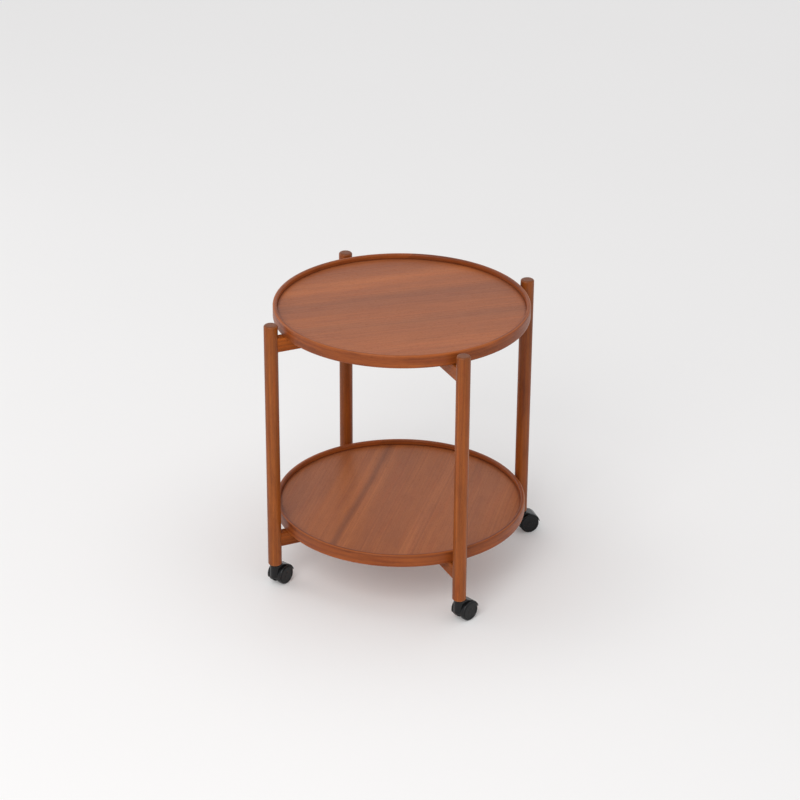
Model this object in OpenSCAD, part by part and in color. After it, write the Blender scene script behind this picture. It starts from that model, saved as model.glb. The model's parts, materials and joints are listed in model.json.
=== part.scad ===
// Serving trolley: two round trays on a folding frame of four legs, with a twin-wheel caster
// under each leg. Millimetres, +Z up, origin on the floor below the middle of the trays.
// Frame a holds the front left and back right legs, frame b the front right and back left ones.

/* [Trays] */
// Outer diameter of each round tray
tray_d = 480; // [440:5:520]
// Height of a tray's rim
tray_h = 25; // [22:1:32]
// Thickness of the bent rim
rim_t = 8; // [7:0.5:11]
// Rounding of the rim's edges
rim_edge_r = 3; // [1:0.5:3.4]
// Thickness of a tray's panel
panel_t = 6; // [5:0.5:8]
// Thickness of the tongue round the panel's edge
tongue_t = 3; // [2:0.5:4]
// Depth of the groove in the rim that holds the tongue
groove_deep = 3.5; // [2:0.5:4.5]
// Height from the lower tray to the upper one
tray_spacing = 405; // [340:5:460]

/* [Legs] */
// Diameter of a leg
leg_d = 26; // [24:1:30]
// Space between a tray's rim and a leg
leg_tray_gap = 9.5; // [5:0.5:14]
// Height of a leg's top over the upper rim
leg_over_rim = 1; // [0.5:0.5:12]
// Rounding of a leg's top edge
leg_top_r = 4; // [1:0.5:6]
// Rounding of a leg's bottom edge
leg_foot_r = 2.5; // [1:0.5:3]

/* [Rails] */
// Width of a rail
rail_w = 18; // [16:1:22]
// Height of a rail
rail_h = 28; // [26:1:34]
// Rounding of a rail's long edges
rail_edge_r = 2; // [1:0.5:3]
// Height of a lower rail's underside over the end of the leg
rail_lift = 39; // [38:1:60]

/* [Dowels] */
// Diameter of a dowel
dowel_d = 8; // [6:0.5:9]
// Length of a dowel
dowel_len = 34; // [28:1:40]
// Depth of a dowel in the leg
dowel_in_leg = 13; // [10:1:16]
// Height between the two dowels of a joint
dowel_pitch = 14; // [12:0.5:15]

/* [Pivots] */
// Angle by which frame b folds towards frame a
fold_angle = 70; // [40:1:72]
// Diameter of a pivot bolt's shank
bolt_d = 6; // [5:0.5:7]
// Diameter of a pivot bolt's head
bolt_head_d = 11; // [10:0.5:12]
// Height of a pivot bolt's head
bolt_head_h = 3; // [2.5:0.5:4]
// Width across flats of the hexagon socket in a bolt's head
bolt_key_af = 4; // [3:0.5:5]
// Outer diameter of a washer
washer_d = 12; // [11.5:0.5:13]
// Thickness of a washer
washer_t = 1; // [0.8:0.1:1.6]
// Width across flats of a lock nut
nut_af = 10; // [9:0.5:10.5]
// Height of a lock nut
nut_h = 5; // [4:0.5:6]

/* [Caster wheels] */
// Diameter of a wheel
wheel_d = 38; // [36:1:50]
// Width of a wheel
wheel_w = 10.5; // [9:0.5:14]
// Rounding of a wheel's outer edge
wheel_edge_r = 3.5; // [1:0.5:4]
// Thickness of a wheel's tread and face
wheel_wall = 3; // [2.5:0.5:4]
// Width of the raised band round a wheel's face
face_band = 5; // [4:0.5:7]
// Depth of a wheel's face below the band and the hub cap
face_deep = 0.6; // [0.2:0.1:1]
// Diameter of a wheel's hub
hub_d = 11; // [9:0.5:14]
// Diameter of the axle
axle_d = 5; // [4:0.5:6]
// Horizontal offset of the axle from the stem
trail = 16; // [14:0.5:20]

/* [Caster hoods] */
// Width of the web between the two wheels
web_w = 11; // [10.5:0.5:14]
// Thickness of the hood over the wheels
hood_t = 1.5; // [1.2:0.1:2.5]
// Gap between a wheel's tread and the hood
hood_gap = 0.8; // [0.5:0.1:2]
// Width by which a wheel's face stands out of the hood
face_proud = 1; // [0.5:0.1:2.5]
// Height of the hood's lower edge over the axle at its trailing end
lip_lift = 5; // [-3:0.5:6]
// Slope of the hood's lower edge down to its leading end
lip_slope = 13; // [0:1:20]
// Diameter of the boss that holds the stem
boss_d = 20; // [16:0.5:24]
// Height of the boss over the hood
boss_rise = 4; // [2:0.2:6]

/* [Caster stems] */
// Diameter of a stem
stem_d = 8; // [7:0.5:9]
// Depth of a stem in the hood's boss
stem_in_boss = 18; // [14:0.5:20]
// Length of a socket sleeve in the leg
socket_len = 36; // [30:0.5:36.5]
// Wall of a socket sleeve
socket_wall = 1.5; // [1:0.1:2]
// Diameter of a socket's flange under the leg
flange_d = 18; // [14:0.5:20]
// Thickness of a socket's flange
flange_t = 1.2; // [0.8:0.1:2]

/* [Caster directions] */
// Direction in which the front left caster trails, counted from the +X axis
turn_front_left = 72; // [0:2:358]
// Direction in which the front right caster trails
turn_front_right = 64; // [0:2:358]
// Direction in which the back right caster trails
turn_back_right = 38; // [0:2:358]
// Direction in which the back left caster trails
turn_back_left = 56; // [0:2:358]

/* [Hidden] */
$fn = 64;

// Radial gap of a glued or pressed fit
fit_gap = 0.02;
// Radial gap of a running fit
run_gap = 0.05;
// Gap between faces that slide past each other
slide_gap = 0.3;
// Spare depth at the blind end of a hole
blind_gap = 0.5;
// Overlap of a cut past the face that it opens
cut = 1;
// Small rounding of the edges of metal pieces and hubs
edge_r = 0.4;

// Angles of the legs round the middle
FRONT_LEFT = 225;
FRONT_RIGHT = 315;
BACK_RIGHT = 45;
BACK_LEFT = 135;

// Legs and casters: name, angle of the leg, trailing direction of the caster
CORNERS = [
    ["front_left", FRONT_LEFT, turn_front_left],
    ["front_right", FRONT_RIGHT, turn_front_right],
    ["back_right", BACK_RIGHT, turn_back_right],
    ["back_left", BACK_LEFT, turn_back_left]
];

// Heights over the floor
axle_z = wheel_d / 2;
hood_r = wheel_d / 2 + hood_gap + hood_t;
hood_top = axle_z + hood_r + boss_rise;
flange_z = hood_top + slide_gap;
leg_foot = flange_z + flange_t;
lower_rail_z = leg_foot + rail_lift;
lower_tray_z = lower_rail_z + rail_h;
upper_tray_z = lower_tray_z + tray_spacing;
upper_rail_z = upper_tray_z - rail_h;
leg_top = upper_tray_z + tray_h + leg_over_rim;

// Trays
rim_inner_r = tray_d / 2 - rim_t;
panel_r = rim_inner_r - fit_gap;
groove_r = rim_inner_r + groove_deep;
tongue_r = groove_r - blind_gap;

// Legs and rails
leg_circle_r = tray_d / 2 + leg_tray_gap + leg_d / 2;
leg_inner_r = leg_circle_r - leg_d / 2;
dowel_start = leg_inner_r - (dowel_len - dowel_in_leg);

// Lap of two crossing rails
half_h = rail_h / 2;
fold_stop = 90 - fold_angle;
lap_half_w = rail_w / 2 + slide_gap;

// Pivots
counter_d = washer_d + 2 * slide_gap;
head_sink = washer_t + bolt_head_h + blind_gap;
nut_sink = washer_t + nut_h + blind_gap;

// Casters
wheel_in = web_w / 2 + slide_gap;
wheel_out = wheel_in + wheel_w;
hood_half_w = wheel_out - face_proud;
well_edge_r = wheel_edge_r + hood_gap;
hood_edge_r = well_edge_r + hood_t;
hub_r = hub_d / 2;
axle_half = wheel_out - wheel_wall;
stem_foot = hood_top - stem_in_boss;
socket_bore_r = stem_d / 2 + run_gap;
socket_r = socket_bore_r + socket_wall;
socket_top = leg_foot + socket_len;
stem_top = socket_top - blind_gap;

// Half section of a bar for turning: radius r, from height z0 to z1, with its outer edges rounded
module turned_bar_2d(r, z0, z1, foot_r, top_r) {
    translate([0, z0]) square([r - foot_r, z1 - z0]);
    translate([0, z0]) square([r - top_r, z1 - z0]);
    translate([0, z0 + foot_r]) square([r, z1 - z0 - foot_r - top_r]);
    intersection() {
        translate([0, z0]) square([r, z1 - z0]);
        union() {
            translate([r - foot_r, z0 + foot_r]) circle(r = foot_r);
            translate([r - top_r, z1 - top_r]) circle(r = top_r);
        }
    }
}

// Rectangle of the size w by h, from the origin, with all corners rounded
module rounded_2d(w, h, r) {
    translate([r, 0]) square([w - 2 * r, h]);
    translate([0, r]) square([w, h - 2 * r]);
    for (x = [r, w - r])
        for (y = [r, h - r])
            translate([x, y]) circle(r = r);
}

module leg(angle) {
    color([0.60, 0.34, 0.20])
    rotate([0, 0, angle])
    difference() {
        translate([leg_circle_r, 0, 0])
            difference() {
                rotate_extrude() turned_bar_2d(leg_d / 2, leg_foot, leg_top, leg_foot_r, leg_top_r);
                translate([0, 0, leg_foot - cut])
                    cylinder(r = socket_r + fit_gap, h = socket_len + blind_gap + cut);
            }
        dowel_holes(lower_rail_z);
        dowel_holes(upper_rail_z);
    }
}

// Centres of the two dowels of one joint, with the rail's underside at height z
module at_dowels(z) {
    for (side = [-1, 1])
        translate([dowel_start, 0, z + half_h + side * dowel_pitch / 2]) rotate([0, 90, 0]) children();
}

module dowel_holes(z) {
    at_dowels(z)
        translate([0, 0, -blind_gap]) cylinder(r = dowel_d / 2 + fit_gap, h = dowel_len + 2 * blind_gap);
}

module dowels(angle) {
    color([0.72, 0.58, 0.40])
    for (end = [0, 180])
        rotate([0, 0, angle + end])
            for (z = [lower_rail_z, upper_rail_z])
                at_dowels(z) cylinder(r = dowel_d / 2, h = dowel_len);
}

// Room in a rail for the rail that crosses it, over the whole fold. The stops are the square
// shoulder, met when the frame stands open, and the slanting one, met when it is folded.
module lap_room(side) {
    reach = rail_w / 2 + cut;
    square_y = (-lap_half_w + lap_half_w * sin(fold_stop)) / cos(fold_stop);
    slant_x = (lap_half_w + reach * cos(fold_stop)) / sin(fold_stop);
    mirror([0, side > 0 ? 0 : 1, 0])
        linear_extrude(height = half_h + slide_gap / 2 + cut)
            polygon([
                [lap_half_w, -reach], [lap_half_w, square_y], [slant_x, reach],
                [-lap_half_w, reach], [-lap_half_w, -square_y], [-slant_x, -reach]
            ]);
}

// A rail along the X axis with its underside at height z, before the lap is cut
module rail_bar(z) {
    difference() {
        translate([-leg_circle_r, -rail_w / 2, z])
            rotate([90, 0, 90])
                linear_extrude(height = 2 * leg_circle_r) rounded_2d(rail_w, rail_h, rail_edge_r);
        for (end = [0, 180])
            rotate([0, 0, end]) {
                translate([leg_circle_r, 0, z - cut])
                    cylinder(r = leg_d / 2 + fit_gap, h = rail_h + 2 * cut);
                dowel_holes(z);
            }
    }
}

// Rail of frame a: its lower half runs under the other rail
module rail_a(z) {
    color([0.58, 0.33, 0.19])
    rotate([0, 0, BACK_RIGHT])
    difference() {
        rail_bar(z);
        translate([0, 0, z + half_h - slide_gap / 2]) lap_room(-1);
        translate([0, 0, z - cut]) cylinder(r = bolt_d / 2 + fit_gap, h = rail_h);
        translate([0, 0, z - cut]) cylinder(r = counter_d / 2, h = nut_sink + cut);
    }
}

// Rail of frame b: its upper half runs over the other rail
module rail_b(z) {
    color([0.58, 0.33, 0.19])
    rotate([0, 0, FRONT_RIGHT])
    difference() {
        rail_bar(z);
        translate([0, 0, z - cut]) lap_room(1);
        translate([0, 0, z]) cylinder(r = bolt_d / 2 + run_gap, h = rail_h + cut);
        translate([0, 0, z + rail_h - head_sink]) cylinder(r = counter_d / 2, h = head_sink + cut);
    }
}

// Shoulder bolt through a crossing, with the rails' underside at height z
module pivot_bolt(z) {
    washer_z = z + rail_h - head_sink;
    head_z = washer_z + washer_t + slide_gap;
    foot_z = z + blind_gap;
    color([0.62, 0.62, 0.60])
    difference() {
        union() {
            translate([0, 0, foot_z]) cylinder(r = bolt_d / 2, h = head_z - foot_z + cut);
            translate([0, 0, head_z])
                rotate_extrude() turned_bar_2d(bolt_head_d / 2, 0, bolt_head_h, edge_r, bolt_head_h / 3);
        }
        translate([0, 0, head_z + bolt_head_h / 3])
            cylinder(r = bolt_key_af / 2 / cos(30), h = bolt_head_h, $fn = 6);
    }
}

module washer(z) {
    translate([0, 0, z])
        difference() {
            cylinder(r = washer_d / 2, h = washer_t);
            translate([0, 0, -cut]) cylinder(r = bolt_d / 2 + run_gap, h = washer_t + 2 * cut);
        }
}

// One washer under the bolt's head and one over the nut
module pivot_washers(z) {
    color([0.66, 0.66, 0.64]) {
        washer(z + rail_h - head_sink + slide_gap / 2);
        washer(z + nut_sink - washer_t);
    }
}

module pivot_nut(z) {
    nut_z = z + nut_sink - washer_t - nut_h;
    corner_r = nut_af / 2 / cos(30);
    color([0.64, 0.64, 0.62])
    translate([0, 0, nut_z])
        difference() {
            intersection() {
                cylinder(r = corner_r, h = nut_h, $fn = 6);
                rotate_extrude() turned_bar_2d(corner_r, 0, nut_h, nut_h / 5, edge_r);
            }
            translate([0, 0, -cut]) cylinder(r = bolt_d / 2 + fit_gap, h = nut_h + 2 * cut);
        }
}

// Bent ring with a groove for the panel, resting on rails whose tops are at height z
module rim(z) {
    color([0.57, 0.29, 0.16])
    translate([0, 0, z])
        rotate_extrude($fn = 180)
            difference() {
                translate([rim_inner_r, 0]) rounded_2d(rim_t, tray_h, rim_edge_r);
                translate([rim_inner_r - cut, tray_h / 2 - tongue_t / 2 - fit_gap])
                    square([groove_deep + cut, tongue_t + 2 * fit_gap]);
            }
}

module panel(z) {
    color([0.65, 0.42, 0.32])
    translate([0, 0, z + tray_h / 2]) {
        translate([0, 0, -panel_t / 2]) cylinder(r = panel_r, h = panel_t, $fn = 180);
        translate([0, 0, -tongue_t / 2]) cylinder(r = tongue_r, h = tongue_t, $fn = 180);
    }
}

// Places a caster's piece: stem on the Z axis, axle at [trail, 0, axle_z], trailing towards +X
module at_caster(corner) {
    rotate([0, 0, corner[1]])
        translate([leg_circle_r, 0, 0])
            rotate([0, 0, corner[2] - corner[1]])
                children();
}

// Turns a shape made along the Z axis to lie along the axle
module along_axle() {
    translate([trail, 0, axle_z]) rotate([90, 0, 0]) children();
}

module socket() {
    color([0.12, 0.12, 0.12])
    difference() {
        union() {
            translate([0, 0, flange_z]) cylinder(r = flange_d / 2, h = flange_t);
            translate([0, 0, flange_z]) cylinder(r = socket_r, h = flange_t + socket_len);
        }
        translate([0, 0, flange_z - cut])
            cylinder(r = socket_bore_r, h = flange_t + socket_len + 2 * cut);
    }
}

module stem() {
    ring_h = 3;
    neck_h = 4;
    neck_r = 0.8 * stem_d / 2;
    color([0.60, 0.60, 0.58])
    difference() {
        translate([0, 0, stem_foot])
            rotate_extrude() turned_bar_2d(stem_d / 2, 0, stem_top - stem_foot, edge_r, ring_h / 2);
        translate([0, 0, stem_top - ring_h - neck_h])
            rotate_extrude() translate([neck_r, 0]) square([stem_d, neck_h]);
    }
}

// Side view of the boss and of the back that slopes from it to the hood, seen along the axle
module hood_side_2d() {
    tail = [boss_d / 2, hood_top];
    tail_d = norm(tail - [trail, axle_z]);
    tail_angle = atan2(tail[1] - axle_z, tail[0] - trail) - acos(hood_r / tail_d);
    touch = [trail + hood_r * cos(tail_angle), axle_z + hood_r * sin(tail_angle)];
    polygon([[-boss_d / 2, axle_z], [-boss_d / 2, hood_top], tail, touch, [trail, axle_z]]);
}

// Top view of the same: a round boss that widens towards the wheels
module hood_plan_2d() {
    wide = hood_half_w - hood_edge_r / 2;
    circle(r = boss_d / 2);
    polygon([
        [0, -boss_d / 2], [0, boss_d / 2], [trail, wide],
        [trail + hood_r, wide], [trail + hood_r, -wide], [trail, -wide]
    ]);
}

// Hood before the wheels' room is cut: a rounded drum above a sloping plane
module hood_drum() {
    half_w = wheel_out + hood_gap + hood_t;
    intersection() {
        along_axle()
            rotate_extrude()
                translate([0, -half_w])
                    turned_bar_2d(hood_r, 0, 2 * half_w, hood_edge_r, hood_edge_r);
        translate([trail + hood_r, 0, axle_z + lip_lift])
            rotate([0, -lip_slope, 0])
                translate([-3 * hood_r, -hood_half_w, 0])
                    cube([4 * hood_r, 2 * hood_half_w, 3 * hood_r]);
    }
}

// Room for one wheel, along +Z from the middle of the web
module wheel_room() {
    rotate_extrude()
        turned_bar_2d(wheel_d / 2 + hood_gap, web_w / 2, wheel_out + hood_gap, edge_r, well_edge_r);
}

module hood() {
    web_r = wheel_d / 2 - wheel_wall - 1;
    color([0.11, 0.11, 0.12])
    difference() {
        union() {
            hood_drum();
            along_axle() translate([0, 0, -web_w / 2]) cylinder(r = web_r, h = web_w);
            intersection() {
                translate([0, hood_half_w, 0])
                    rotate([90, 0, 0]) linear_extrude(height = 2 * hood_half_w) hood_side_2d();
                linear_extrude(height = hood_top) hood_plan_2d();
            }
        }
        for (side = [0, 1])
            along_axle() mirror([0, 0, side]) wheel_room();
        along_axle() cylinder(r = axle_d / 2 + fit_gap, h = 2 * web_w, center = true);
        translate([0, 0, stem_foot]) cylinder(r = stem_d / 2 + fit_gap, h = stem_in_boss + cut);
    }
}

module axle() {
    color([0.66, 0.66, 0.64])
    along_axle()
        translate([0, 0, -axle_half])
            rotate_extrude() turned_bar_2d(axle_d / 2, 0, 2 * axle_half, edge_r, edge_r);
}

// Half section of a wheel, its outer face at height wheel_w: a cup with a hub in it
module wheel_2d() {
    band_r = wheel_d / 2 - face_band;
    difference() {
        turned_bar_2d(wheel_d / 2, 0, wheel_w, edge_r, wheel_edge_r);
        translate([hub_r, -cut])
            square([wheel_d / 2 - wheel_wall - hub_r, wheel_w - wheel_wall + cut]);
        translate([-cut, -cut])
            square([axle_d / 2 + run_gap + cut, wheel_w - wheel_wall + blind_gap + cut]);
        translate([hub_r, wheel_w - face_deep]) square([band_r - hub_r, cut]);
    }
}

// side is 1 for the left wheel, seen from the trailing end, and -1 for the right one
module wheel(side) {
    color([0.10, 0.10, 0.11])
    along_axle()
        mirror([0, 0, side > 0 ? 0 : 1])
            translate([0, 0, wheel_in]) rotate_extrude() wheel_2d();
}

for (c = CORNERS) {
    leg(c[1]);
}
rail_a(upper_rail_z);  // rail_a_upper
rail_a(lower_rail_z);  // rail_a_lower
rail_b(upper_rail_z);  // rail_b_upper
rail_b(lower_rail_z);  // rail_b_lower
dowels(BACK_RIGHT);  // dowels_a
dowels(FRONT_RIGHT);  // dowels_b
pivot_bolt(upper_rail_z);  // pivot_bolt_upper
pivot_bolt(lower_rail_z);  // pivot_bolt_lower
pivot_washers(upper_rail_z);  // pivot_washers_upper
pivot_washers(lower_rail_z);  // pivot_washers_lower
pivot_nut(upper_rail_z);  // pivot_nut_upper
pivot_nut(lower_rail_z);  // pivot_nut_lower
rim(upper_tray_z);  // rim_upper
rim(lower_tray_z);  // rim_lower
panel(upper_tray_z);  // panel_upper
panel(lower_tray_z);  // panel_lower
for (c = CORNERS) {
    at_caster(c) socket();
    at_caster(c) stem();
    at_caster(c) hood();
    at_caster(c) axle();
    at_caster(c) wheel(1);
    at_caster(c) wheel(-1);
}
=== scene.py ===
"""Dresses a packed serving trolley: two round wooden trays on a folding frame with casters.

Run as a script in Blender. Lengths are in metres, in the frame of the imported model: +Z is up, the
floor is at height 0 and the Z axis runs through the middle of the trays.
"""

import json
import math
from contextlib import contextmanager

import bmesh
import bpy
from mathutils import Matrix, Vector

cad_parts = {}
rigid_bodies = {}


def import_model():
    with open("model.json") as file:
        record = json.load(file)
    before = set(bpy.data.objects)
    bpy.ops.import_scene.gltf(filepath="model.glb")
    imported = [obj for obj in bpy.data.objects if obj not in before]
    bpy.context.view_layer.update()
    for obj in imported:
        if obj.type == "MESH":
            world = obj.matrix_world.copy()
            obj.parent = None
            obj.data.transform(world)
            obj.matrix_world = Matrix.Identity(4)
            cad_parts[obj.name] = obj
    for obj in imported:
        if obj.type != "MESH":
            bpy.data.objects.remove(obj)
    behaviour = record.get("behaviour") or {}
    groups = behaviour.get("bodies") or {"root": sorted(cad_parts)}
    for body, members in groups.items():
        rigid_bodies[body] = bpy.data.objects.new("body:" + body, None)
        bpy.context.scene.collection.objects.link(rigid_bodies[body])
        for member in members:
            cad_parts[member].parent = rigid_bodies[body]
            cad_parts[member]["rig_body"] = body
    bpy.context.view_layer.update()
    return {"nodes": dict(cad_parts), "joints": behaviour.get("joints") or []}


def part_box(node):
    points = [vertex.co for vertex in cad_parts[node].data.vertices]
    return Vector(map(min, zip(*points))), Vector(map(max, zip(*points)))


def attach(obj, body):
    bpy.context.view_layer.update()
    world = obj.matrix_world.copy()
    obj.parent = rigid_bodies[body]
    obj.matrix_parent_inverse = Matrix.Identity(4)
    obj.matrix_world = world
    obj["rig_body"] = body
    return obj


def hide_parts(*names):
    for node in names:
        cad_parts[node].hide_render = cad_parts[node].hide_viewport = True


bl_info = {
    "name": "Round serving trolley",
    "version": (1, 0, 0),
    "blender": (4, 5, 0),
    "location": "3D View > Sidebar > Trolley",
    "description": "Models and finishes a folding serving trolley with two round trays",
    "category": "Object",
}

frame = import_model()

MM = 0.001
UP = Vector((0, 0, 1))
CORNERS = ("front_left", "front_right", "back_right", "back_left")
LEVELS = ("upper", "lower")
SMOOTH_ANGLE = math.radians(32)


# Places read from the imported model


def home(node):
    """The body that a CAD node rides on."""
    return frame["nodes"][node]["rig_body"]


def joint_place(name):
    """Position of a joint in the row frame."""
    return Vector(next(j for j in frame["joints"] if j["name"] == name)["pos_m"])


def middle(node):
    """Centre of a CAD node's box."""
    low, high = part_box(node)
    return (low + high) / 2


def hue(red, green, blue):
    """Linear colour of the display values 0 to 255."""

    def linear(value):
        value /= 255
        return value / 12.92 if value <= 0.04045 else ((value + 0.055) / 1.055) ** 2.4

    return tuple(linear(value) for value in (red, green, blue))


# Sizes and colours that a user would change


def length(name, description, default):
    return bpy.props.FloatProperty(
        name=name, description=description, default=default, min=0, precision=5, unit="LENGTH", subtype="DISTANCE"
    )


def colour(name, description, default):
    return bpy.props.FloatVectorProperty(
        name=name, description=description, default=hue(*default), size=3, min=0, max=1, subtype="COLOR"
    )


def factor(name, description, default):
    return bpy.props.FloatProperty(
        name=name, description=description, default=default, min=0, max=1, subtype="FACTOR"
    )


class TrolleyFrameSizes(bpy.types.PropertyGroup):
    leg_radius: length("Leg radius", "Radius of a round leg", 13 * MM)
    leg_top_round: length("Leg top rounding", "Rounding of a leg's top edge", 4 * MM)
    leg_foot_round: length("Leg foot rounding", "Rounding of a leg's bottom edge", 2.5 * MM)
    socket_radius: length("Socket bore", "Radius of the bore for the caster's socket", 5.57 * MM)
    socket_depth: length("Socket bore depth", "Depth of the bore for the caster's socket", 36.5 * MM)
    rail_width: length("Rail width", "Width of a rail", 18 * MM)
    rail_height: length("Rail height", "Height of a rail", 28 * MM)
    rail_round: length("Rail rounding", "Rounding of a rail's long edges", 2 * MM)
    dowel_bore: length("Dowel bore", "Radius of a dowel's hole", 4.02 * MM)
    dowel_length: length("Dowel length", "Length of a dowel", 34 * MM)
    dowel_pitch: length("Dowel pitch", "Height between the two dowels of a joint", 14 * MM)
    lap_gap: length("Lap gap", "Gap between two rails where they cross", 0.3 * MM)
    bolt_bore: length("Bolt bore", "Radius of the bore for the pivot bolt", 3.05 * MM)
    counterbore: length("Counterbore", "Radius of the room for the bolt's head and nut", 6.3 * MM)
    head_depth: length("Head depth", "Depth of the room for the bolt's head", 4.5 * MM)
    nut_depth: length("Nut depth", "Depth of the room for the nut", 6.5 * MM)


class TrolleyTraySizes(bpy.types.PropertyGroup):
    radius: length("Tray radius", "Outer radius of a tray", 240 * MM)
    rim_thickness: length("Rim thickness", "Thickness of the bent rim", 8 * MM)
    rim_round: length("Rim rounding", "Rounding of the rim's edges", 3 * MM)
    panel_thickness: length("Panel thickness", "Thickness of the panel", 6 * MM)
    panel_arris: length("Panel arris", "Rounding of the panel's upper and lower edge", 0.35 * MM)
    tongue: length("Tongue thickness", "Thickness of the tongue round the panel", 3 * MM)
    groove_depth: length("Groove depth", "Depth of the rim's groove", 3.5 * MM)
    spare_depth: length("Spare depth", "Spare depth of the groove behind the tongue", 0.5 * MM)
    fit_gap: length("Fit gap", "Gap of a glued fit", 0.02 * MM)


class TrolleyCasterSizes(bpy.types.PropertyGroup):
    wheel_width: length("Wheel width", "Width of a wheel", 10.5 * MM)
    wheel_round: length("Wheel rounding", "Rounding of a wheel's outer edge", 3.5 * MM)
    wheel_wall: length("Wheel wall", "Thickness of a wheel's tread and face", 3 * MM)
    wheel_band: length("Face band", "Width of the raised band round a wheel's face", 5 * MM)
    face_depth: length("Face depth", "Depth of a wheel's face below its band", 0.6 * MM)
    hub_radius: length("Hub radius", "Radius of a wheel's hub", 5.5 * MM)
    axle_bore: length("Axle bore", "Radius of the axle's bore in a wheel", 2.55 * MM)
    axle_hole: length("Axle hole", "Radius of the axle's hole in the hood", 2.52 * MM)
    web_width: length("Web width", "Width of the web between the wheels", 11 * MM)
    side_gap: length("Side gap", "Gap between the web and a wheel", 0.3 * MM)
    hood_wall: length("Hood wall", "Thickness of the hood", 1.5 * MM)
    hood_gap: length("Hood gap", "Gap between the tread and the hood", 0.8 * MM)
    face_proud: length("Wheel stand-out", "Width by which a wheel stands out of the hood", 1 * MM)
    lip_lift: length("Lip lift", "Height of the hood's lip over the axle at its trailing end", 5 * MM)
    boss_radius: length("Boss radius", "Radius of the boss round the stem", 10 * MM)
    stem_hole: length("Stem hole", "Radius of the stem's hole in the boss", 4.02 * MM)
    stem_depth: length("Stem depth", "Depth of the stem's hole", 18 * MM)


class TrolleyColours(bpy.types.PropertyGroup):
    leg_wood: colour("Leg wood", "Main tone of the legs", (144, 77, 27))
    rail_wood: colour("Rail wood", "Main tone of the rails", (152, 80, 28))
    rim_wood: colour("Rim wood", "Main tone of the bent rims", (147, 75, 29))
    upper_veneer: colour("Upper veneer", "Main tone of the upper panel", (170, 98, 56))
    lower_veneer: colour("Lower veneer", "Main tone of the lower panel", (166, 96, 51))
    dowel_wood: colour("Dowel wood", "Tone of the dowels", (205, 170, 125))
    steel: colour("Steel", "Tone of the plated steel", (200, 200, 196))
    caster_plastic: colour("Caster plastic", "Tone of the hoods and sockets", (17, 17, 18))
    wheel_plastic: colour("Wheel plastic", "Tone of the wheels", (14, 14, 15))


class TrolleyStage(bpy.types.PropertyGroup):
    camera_place: bpy.props.FloatVectorProperty(
        name="Camera place", description="Position of the camera", default=(1.4247, -3.8763, 2.3427),
        size=3, unit="LENGTH", subtype="TRANSLATION",
    )
    camera_tilt: bpy.props.FloatProperty(
        name="Camera tilt", description="Angle by which the camera looks down",
        default=math.radians(25.866), unit="ROTATION", subtype="ANGLE",
    )
    camera_turn: bpy.props.FloatProperty(
        name="Camera turn", description="Angle of the view round the Z axis",
        default=math.radians(20.211), unit="ROTATION", subtype="ANGLE",
    )
    camera_roll: bpy.props.FloatProperty(
        name="Camera roll", description="Angle by which the camera leans",
        default=math.radians(0.371), unit="ROTATION", subtype="ANGLE",
    )
    focal_length: bpy.props.FloatProperty(
        name="Focal length", description="Focal length on a 36 mm wide film", default=109.0, min=1, unit="CAMERA"
    )
    floor_tone: colour("Floor", "Tone of the floor", (252, 250, 248))
    floor_glow: factor("Floor glow", "Share of the floor's look that no shadow reaches, at the trolley", 0.13)
    far_floor_glow: factor("Far floor glow", "Share of the floor's look that no shadow reaches, far off", 0.36)
    glow_start: length("Glow start", "Distance from the trolley's axis at which the glow starts to grow", 0.20)
    glow_end: length("Glow end", "Distance from the trolley's axis at which the glow is full", 0.67)
    sky_tone: colour("Surroundings", "Tone of the white room round the object", (250, 252, 255))
    sky_strength: factor("Surroundings strength", "Strength of the light from all round", 0.68)
    backdrop: factor("Backdrop", "How pale the surroundings look behind the object and in reflections", 0.84)
    key_power: bpy.props.FloatProperty(
        name="Soft box power", description="Power of the soft box above the camera", default=38, min=0, unit="POWER"
    )
    window_power: bpy.props.FloatProperty(
        name="Window power", description="Power of the low window on the left", default=14, min=0, unit="POWER"
    )


# Modelling


def solo(*pieces):
    """Selects only these pieces, in Object Mode, and makes the last of them active."""
    if bpy.context.mode != "OBJECT":
        bpy.ops.object.mode_set(mode="OBJECT")
    bpy.ops.object.select_all(action="DESELECT")
    for piece in pieces:
        piece.select_set(True)
    if pieces:
        bpy.context.view_layer.objects.active = pieces[-1]


def settle(name=None):
    """Applies the place of the active object, names it and returns it."""
    piece = bpy.context.object
    solo(piece)
    bpy.ops.object.transform_apply(location=True, rotation=True, scale=True)
    if name:
        piece.name = piece.data.name = name
    return piece


def drum(centre, axis, radius, depth, sides=96, name=None):
    """A closed cylinder round an axis."""
    solo()
    turn = UP.rotation_difference(Vector(axis)).to_euler()
    bpy.ops.mesh.primitive_cylinder_add(
        vertices=sides, radius=radius, depth=depth, end_fill_type="NGON", location=centre, rotation=turn
    )
    return settle(name)


def block(centre, size, turn=0.0, name=None):
    """A box turned about the vertical."""
    solo()
    bpy.ops.mesh.primitive_cube_add(size=1, location=centre, rotation=(0, 0, turn), scale=size)
    return settle(name)


@contextmanager
def editing(piece):
    """Edit Mode on one piece, with nothing of it selected."""
    solo(piece)
    bpy.ops.object.mode_set(mode="EDIT")
    bpy.ops.mesh.select_all(action="DESELECT")
    yield
    bpy.ops.object.mode_set(mode="OBJECT")


def pick_faces(piece, test):
    """Selects the faces whose centre and normal pass the test."""
    bpy.ops.mesh.select_all(action="DESELECT")
    bpy.ops.mesh.select_mode(type="FACE")
    shell = bmesh.from_edit_mesh(piece.data)
    for face in shell.faces:
        face.select_set(test(face.calc_center_median(), face.normal))
    bmesh.update_edit_mesh(piece.data)


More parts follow.
